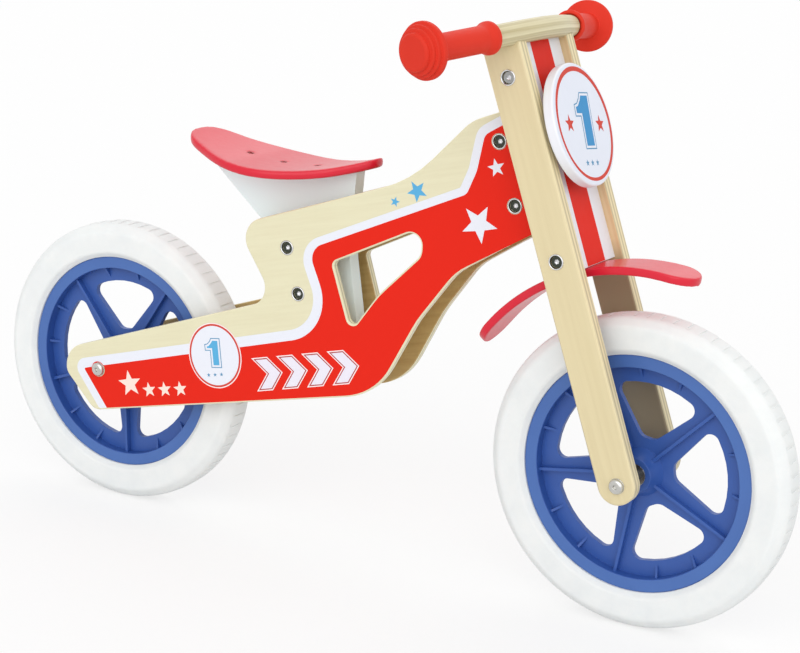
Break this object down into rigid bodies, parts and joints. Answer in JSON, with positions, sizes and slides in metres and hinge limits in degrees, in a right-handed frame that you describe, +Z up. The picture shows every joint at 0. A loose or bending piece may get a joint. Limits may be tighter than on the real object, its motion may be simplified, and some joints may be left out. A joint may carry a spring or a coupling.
{
  "type": "balance bike",
  "caption": "Wooden balance bike: two plywood side panels, steering fork with handlebar, bent plywood saddle and foam-tyred wheels.",
  "frame": {"origin": "on the ground, midway between the two wheels, in the middle plane", "axes": "+X forwards, towards the front wheel; +Y towards the rider's left; +Z up"},
  "size_m": [0.896, 0.3658, 0.561],
  "materials": {
    "printed_plywood": "satin lacquer over a red, white and blue print on birch plywood",
    "birch_plywood": "satin lacquered birch plywood",
    "birch": "satin lacquered solid birch",
    "white_paint": "satin white paint on wood",
    "striped_paint": "satin paint on wood, a red stripe between two white ones",
    "red_paint": "gloss red paint on bent plywood",
    "grip_rubber": "matt orange-red rubber",
    "tyre_foam": "matt white foam",
    "blue_plastic": "moulded blue plastic",
    "black_plastic": "moulded black plastic",
    "zinc_steel": "bright zinc-plated steel",
    "bearing_steel": "ground steel",
    "chrome": "polished chrome"
  },
  "bodies": {
    "frame": {"right_side_panel": "printed_plywood", "left_side_panel": "printed_plywood", "head_block": "birch", "head_bushes": "black_plastic", "head_bolts": "zinc_steel", "head_nuts": "zinc_steel", "head_cup_washers": "chrome", "seat_post": "white_paint", "right_post_spacer": "birch", "left_post_spacer": "birch", "post_bolts": "zinc_steel", "post_nuts": "zinc_steel", "post_cup_washers": "chrome", "seat": "red_paint", "seat_screws": "zinc_steel", "rear_axle_bolt": "zinc_steel", "rear_axle_nut": "zinc_steel", "rear_axle_washers": "zinc_steel", "rear_axle_spacers": "black_plastic", "rear_hub_sleeve": "zinc_steel", "rear_inner_races": "bearing_steel"},
    "rear_wheel": {"rear_tyre": "tyre_foam", "rear_rim": "blue_plastic", "rear_bearings": "bearing_steel"},
    "fork": {"right_fork_leg": "birch_plywood", "left_fork_leg": "birch_plywood", "upper_fork_block": "birch", "lower_fork_block": "birch", "front_board": "striped_paint", "fork_screws": "zinc_steel", "fork_cup_washers": "chrome", "plate_spacer": "birch", "number_plate": "white_paint", "plate_screws": "zinc_steel", "mudguard": "red_paint", "mudguard_screws": "zinc_steel", "handlebar": "birch", "handlebar_dowels": "birch", "right_grip": "grip_rubber", "left_grip": "grip_rubber", "steering_bolt": "zinc_steel", "steering_nut": "zinc_steel", "steering_washers": "zinc_steel", "front_axle_bolt": "zinc_steel", "front_axle_nut": "zinc_steel", "front_axle_washers": "zinc_steel", "front_axle_spacers": "black_plastic", "front_hub_sleeve": "zinc_steel", "front_inner_races": "bearing_steel"},
    "front_wheel": {"front_tyre": "tyre_foam", "front_rim": "blue_plastic", "front_bearings": "bearing_steel"}
  },
  "joints": [
    {"name": "steering", "type": "hinge", "parent": "frame", "child": "fork", "pos_m": [0.28676, 0, 0.1458], "axis": [-0.3502, 0, 0.9367], "range_deg": [-30, 30]},
    {"name": "rear_wheel_spin", "type": "hinge", "parent": "frame", "child": "rear_wheel", "pos_m": [-0.298, 0, 0.15], "axis": [0, 1, 0], "continuous": true},
    {"name": "front_wheel_spin", "type": "hinge", "parent": "fork", "child": "front_wheel", "pos_m": [0.298, 0, 0.15], "axis": [0, 1, 0], "continuous": true}
  ]
}
